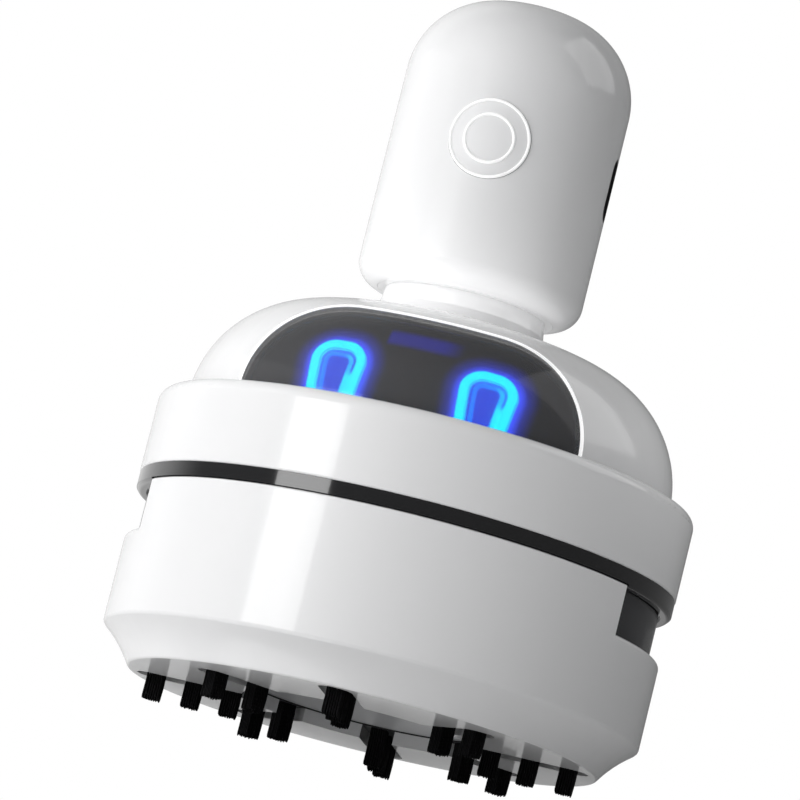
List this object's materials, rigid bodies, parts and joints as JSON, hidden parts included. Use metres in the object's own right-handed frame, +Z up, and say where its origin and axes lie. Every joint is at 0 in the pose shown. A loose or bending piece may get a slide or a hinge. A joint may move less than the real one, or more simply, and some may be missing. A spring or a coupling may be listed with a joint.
{
  "type": "desktop mini vacuum cleaner",
  "caption": "Round desk-top mini vacuum cleaner: dust box on bristle tufts, blower housing with a domed top and a smoked window, capsule handle with power button and charging port.",
  "frame": {"origin": "middle of the underside, on the desk under the tuft tips", "axes": "+Z up through the handle, -Y to the window and the power button, +X to the charging port"},
  "size_m": [0.0804, 0.0804, 0.1129],
  "materials": {
    "white_plastic": "gloss",
    "pale_plastic": "gloss",
    "black_gloss": "high gloss",
    "black_plastic": "satin",
    "grey_plastic": "satin",
    "bristle": "bristle",
    "smoked_cup": "gloss, translucent",
    "smoked_window": "gloss, translucent",
    "light_guide": "frosted",
    "lamp_chip": "gloss",
    "seal_rubber": "matte",
    "fleece": "felt",
    "steel": "machined",
    "motor_metal": "drawn",
    "port_metal": "bright",
    "switch_body": "satin",
    "circuit_board": "solder mask",
    "cell_wrap": "shrink film",
    "wire_cover": "satin"
  },
  "bodies": {
    "dust_box": {"lower_shell": "white_plastic", "brush_plate": "black_plastic", "long_arm_tufts": "bristle", "short_arm_tufts": "bristle", "intake_funnel": "pale_plastic", "dust_cup": "smoked_cup", "cup_gasket": "seal_rubber"},
    "filter": {"filter_frame": "grey_plastic", "filter_pad": "fleece"},
    "upper_body": {"motor_deck": "black_gloss", "deck_screws": "steel", "fan_housing": "black_plastic", "fan_screws": "steel", "motor_can": "motor_metal", "motor_bracket": "black_plastic", "motor_screws": "steel", "collar_ring": "white_plastic", "dome_shell": "white_plastic", "visor_trim": "white_plastic", "visor_lens": "smoked_window", "left_eye_guide": "light_guide", "right_eye_guide": "light_guide", "eye_carrier": "black_plastic", "led_board": "circuit_board", "eye_leds": "lamp_chip", "neck_base": "white_plastic", "neck_nut": "black_plastic", "handle_shell": "white_plastic", "button_ring": "white_plastic", "tact_switch": "switch_body", "inner_frame": "grey_plastic", "battery_cell": "cell_wrap", "control_board": "circuit_board", "board_screws": "steel", "usb_socket": "port_metal", "port_liner": "black_plastic", "motor_leads": "wire_cover"},
    "fan": {"impeller": "grey_plastic", "motor_shaft": "steel"},
    "button": {"power_button": "white_plastic"}
  },
  "joints": [
    {"name": "upper_lift", "type": "slide", "parent": "dust_box", "child": "upper_body", "axis": [0, 0, 1], "range_m": [0, 0.06]},
    {"name": "filter_lift", "type": "slide", "parent": "dust_box", "child": "filter", "axis": [0, 0, 1], "range_m": [0, 0.024]},
    {"name": "impeller_spin", "type": "hinge", "parent": "upper_body", "child": "fan", "pos_m": [0, 0, 0.036], "axis": [0, 0, 1], "continuous": true},
    {"name": "power_button_press", "type": "slide", "parent": "upper_body", "child": "button", "axis": [0, 1, 0], "range_m": [0, 0.0005], "stiffness_N_per_m": 1500, "springref_m": -0.0003}
  ],
  "couplings": [
    {"joint": "filter_lift", "follows": "upper_lift", "ratio": 0.4}
  ]
}
